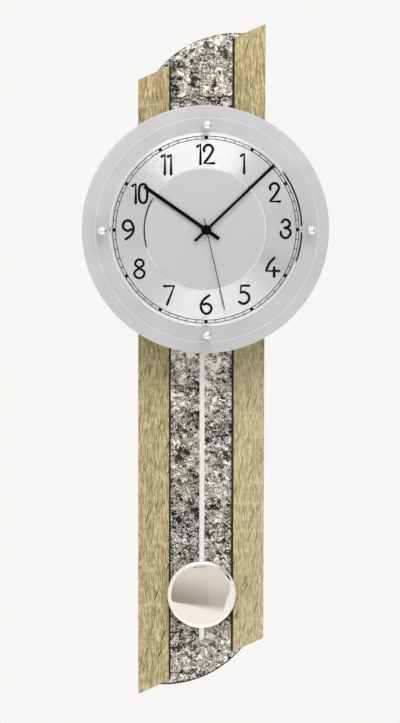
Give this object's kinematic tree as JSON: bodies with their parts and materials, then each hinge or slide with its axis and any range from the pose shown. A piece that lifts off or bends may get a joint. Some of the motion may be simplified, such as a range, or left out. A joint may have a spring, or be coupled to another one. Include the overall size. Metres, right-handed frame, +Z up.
{
  "type": "radio-controlled pendulum wall clock",
  "caption": "Tall wall clock: a round silver dial under glass stands off a slanted panel of oak-look boards and stone, with a flat rod and polished round bob swinging below.",
  "frame": {"origin": "middle of the hanger plate's round hole, on the wall plane", "axes": "+Z up, +Y into the wall, so the dial faces -Y; +X to the right as seen from the front"},
  "size_m": [0.246, 0.089, 0.68],
  "materials": {
    "oak_foil": "matt printed oak foil with vertical grain on fibreboard",
    "black_strip": "matt black-brown edging strip",
    "fibreboard": "bare medium-density fibreboard",
    "slate": "split natural stone sheet, mottled black, grey, white and brown",
    "batten_wood": "planed softwood",
    "zinc_yellow_screw": "yellow zinc-plated wood screw",
    "zinc_steel": "bright zinc-plated steel",
    "spacer_aluminium": "turned aluminium",
    "dial_aluminium": "fine matt silver, lacquered",
    "chapter_aluminium": "circular-brushed silver with a matt sunk middle and black print",
    "clear_glass": "clear flat mineral glass with ground edge",
    "sleeve_metal": "bright plated sleeve",
    "clear_plastic": "clear soft plastic",
    "chrome": "polished chrome",
    "case_plastic": "black moulded plastic, fine grain",
    "rubber": "matt black rubber",
    "natural_acetal": "natural white acetal, moulded",
    "rotor_magnet": "dark sintered magnet",
    "stator_iron": "punched soft-iron sheet",
    "copper_winding": "enamelled copper winding",
    "black_hand": "semi-matt black lacquer on aluminium sheet",
    "board_laminate": "green solder-masked laminate",
    "crystal_can": "drawn metal can",
    "ferrite": "dark grey ferrite",
    "battery_jacket": "plain printed steel can",
    "contact_sheet": "nickel-plated spring sheet",
    "button_plastic": "grey moulded plastic",
    "steel_pin": "ground steel pin",
    "rod_steel": "bright nickel-plated strip",
    "polished_bob": "polished and lacquered spun metal",
    "clip_steel": "spring steel strip"
  },
  "bodies": {
    "root": {"left_stile": "oak_foil", "right_stile": "oak_foil", "left_shadow_strip": "black_strip", "right_shadow_strip": "black_strip", "slate_board": "fibreboard", "slate_sheet": "slate", "upper_batten": "batten_wood", "lower_batten": "batten_wood", "batten_screws": "zinc_yellow_screw", "hanger_plate": "zinc_steel", "hanger_screws": "zinc_steel", "dial_spacers": "spacer_aluminium", "spacer_foot_screws": "zinc_steel", "dial_plate": "dial_aluminium", "dial_screws": "zinc_steel", "chapter_disc": "chapter_aluminium", "glass_disc": "clear_glass", "glass_sleeves": "sleeve_metal", "glass_studs": "zinc_steel", "glass_nuts": "zinc_steel", "glass_washers": "clear_plastic", "glass_knobs": "chrome", "movement_case": "case_plastic", "movement_cover": "case_plastic", "movement_screws": "zinc_steel", "rubber_washer": "rubber", "train_bridge": "natural_acetal", "seconds_stator": "stator_iron", "seconds_coil": "copper_winding", "minute_stator": "stator_iron", "minute_coil": "copper_winding", "circuit_board": "board_laminate", "quartz_crystal": "crystal_can", "aerial_rod": "ferrite", "aerial_coil": "copper_winding", "plus_contact": "contact_sheet", "minus_contact": "contact_sheet", "drive_coil": "copper_winding", "lever_pivot": "steel_pin"},
    "minute_group": {"minute_wheel": "natural_acetal", "minute_hand": "black_hand"},
    "hour_group": {"hour_wheel": "natural_acetal", "hour_hand": "black_hand"},
    "motion_group": {"motion_wheel": "natural_acetal"},
    "minute_idler_group": {"minute_idler": "natural_acetal"},
    "minute_rotor_group": {"minute_rotor": "rotor_magnet"},
    "second_group": {"seconds_wheel": "natural_acetal", "second_hand": "black_hand"},
    "seconds_idler_group": {"seconds_idler": "natural_acetal"},
    "seconds_rotor_group": {"seconds_rotor": "rotor_magnet"},
    "pendulum": {"drive_lever": "natural_acetal", "lever_magnet": "rotor_magnet", "pendulum_rod": "rod_steel", "pendulum_bob": "polished_bob", "bob_clip": "clip_steel"},
    "battery": {"battery": "battery_jacket"},
    "reset_button": {"reset_button": "button_plastic"},
    "signal_button": {"signal_button": "button_plastic"}
  },
  "joints": [
    {"name": "minute_spin", "type": "hinge", "parent": "root", "child": "minute_group", "pos_m": [0, -0.06, -0.1335], "axis": [0, 1, 0], "continuous": true},
    {"name": "hour_spin", "type": "hinge", "parent": "root", "child": "hour_group", "pos_m": [0, -0.06, -0.1335], "axis": [0, 1, 0], "continuous": true},
    {"name": "motion_spin", "type": "hinge", "parent": "root", "child": "motion_group", "pos_m": [0, -0.06, -0.1251], "axis": [0, 1, 0], "continuous": true},
    {"name": "minute_idler_spin", "type": "hinge", "parent": "root", "child": "minute_idler_group", "pos_m": [0.00779, -0.06, -0.138], "axis": [0, 1, 0], "continuous": true},
    {"name": "minute_rotor_spin", "type": "hinge", "parent": "root", "child": "minute_rotor_group", "pos_m": [0.01537, -0.06, -0.14238], "axis": [0, 1, 0], "continuous": true},
    {"name": "second_spin", "type": "hinge", "parent": "root", "child": "second_group", "pos_m": [0, -0.06, -0.1335], "axis": [0, 1, 0], "continuous": true},
    {"name": "seconds_idler_spin", "type": "hinge", "parent": "root", "child": "seconds_idler_group", "pos_m": [-0.00779, -0.06, -0.138], "axis": [0, 1, 0], "continuous": true},
    {"name": "seconds_rotor_spin", "type": "hinge", "parent": "root", "child": "seconds_rotor_group", "pos_m": [-0.01537, -0.06, -0.14238], "axis": [0, 1, 0], "continuous": true},
    {"name": "pendulum_swing", "type": "hinge", "parent": "root", "child": "pendulum", "pos_m": [0, -0.06, -0.1635], "axis": [0, 1, 0], "range_deg": [-4, 4]},
    {"name": "battery_out", "type": "slide", "parent": "root", "child": "battery", "axis": [0, 1, 0], "range_m": [0, 0.0185]},
    {"name": "reset_press", "type": "slide", "parent": "root", "child": "reset_button", "axis": [0, -1, 0], "range_m": [0, 0.0008], "stiffness_N_per_m": 500},
    {"name": "signal_press", "type": "slide", "parent": "root", "child": "signal_button", "axis": [0, -1, 0], "range_m": [0, 0.0008], "stiffness_N_per_m": 500}
  ],
  "couplings": [
    {"joint": "hour_spin", "follows": "minute_spin", "ratio": 0.083333},
    {"joint": "motion_spin", "follows": "minute_spin", "ratio": -0.33333},
    {"joint": "minute_idler_spin", "follows": "minute_spin", "ratio": -5},
    {"joint": "minute_rotor_spin", "follows": "minute_spin", "ratio": 30},
    {"joint": "seconds_idler_spin", "follows": "second_spin", "ratio": -5},
    {"joint": "seconds_rotor_spin", "follows": "second_spin", "ratio": 30}
  ]
}
